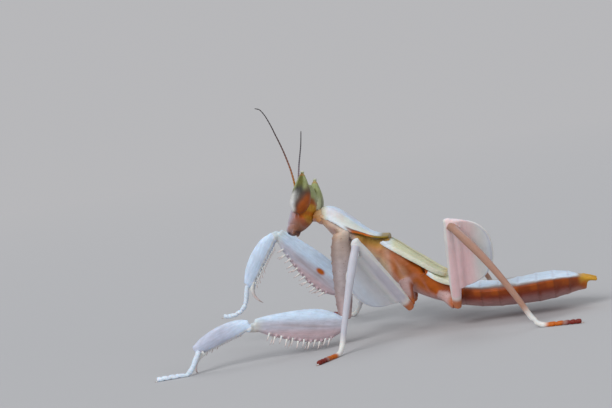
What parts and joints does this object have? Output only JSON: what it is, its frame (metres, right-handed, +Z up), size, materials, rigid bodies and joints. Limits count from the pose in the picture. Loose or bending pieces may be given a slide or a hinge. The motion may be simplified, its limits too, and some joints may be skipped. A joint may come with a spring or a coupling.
{
  "type": "orchid mantis nymph",
  "caption": "Life-size orchid mantis nymph, standing with one raptorial foreleg raised and petal-like lobes on its walking legs.",
  "frame": {"origin": "on the floor, under the middle of the whole model's bounding box", "axes": "+X runs from the head to the tail, -Y is the animal's left side, +Z is up from the floor"},
  "size_m": [0.0508, 0.0426, 0.029],
  "materials": {
    "cuticle": "pale white to pinkish cuticle, softly translucent, low sheen, with fine mottling",
    "blush": "pink-tan cuticle with small brown dots, low sheen",
    "amber": "orange-brown cuticle, low sheen",
    "cream": "cream-yellow wing pads with a white shoulder and fine mottling",
    "eye": "grey-green conical eye with a yellow-green tip, glossy",
    "feeler": "red-brown to dark grey threadlike antenna"
  },
  "bodies": {
    "root": {"head": "blush", "mouthparts": "blush", "eye_left": "eye", "eye_right": "eye", "antenna_left": "feeler", "antenna_right": "feeler", "neck": "blush", "pronotum": "cuticle", "prothorax": "blush", "mesothorax": "amber", "metathorax": "amber", "forewing_pad_left": "cream", "forewing_pad_right": "cream", "hindwing_pad_left": "cream", "hindwing_pad_right": "cream", "abdomen_1": "cuticle", "abdomen_2": "cuticle", "abdomen_3": "cuticle", "abdomen_4": "cuticle", "abdomen_5": "cuticle", "abdomen_6": "cuticle", "abdomen_7": "cuticle", "abdomen_8": "cuticle", "cercus_left": "amber", "cercus_right": "amber", "coxa_fore_left": "blush", "femur_fore_left": "cuticle", "tibia_fore_left": "cuticle", "tarsus_fore_left": "amber", "coxa_fore_right": "blush", "femur_fore_right": "cuticle", "tibia_fore_right": "cuticle", "tarsus_fore_right": "amber", "coxa_mid_left": "blush", "femur_mid_left": "cuticle", "tibia_mid_left": "cuticle", "tarsus_mid_left": "amber", "coxa_mid_right": "blush", "femur_mid_right": "cuticle", "tibia_mid_right": "cuticle", "tarsus_mid_right": "amber", "coxa_hind_left": "blush", "femur_hind_left": "cuticle", "tibia_hind_left": "cuticle", "tarsus_hind_left": "amber", "coxa_hind_right": "blush", "femur_hind_right": "cuticle", "tibia_hind_right": "cuticle", "tarsus_hind_right": "amber"}
  },
  "joints": []
}
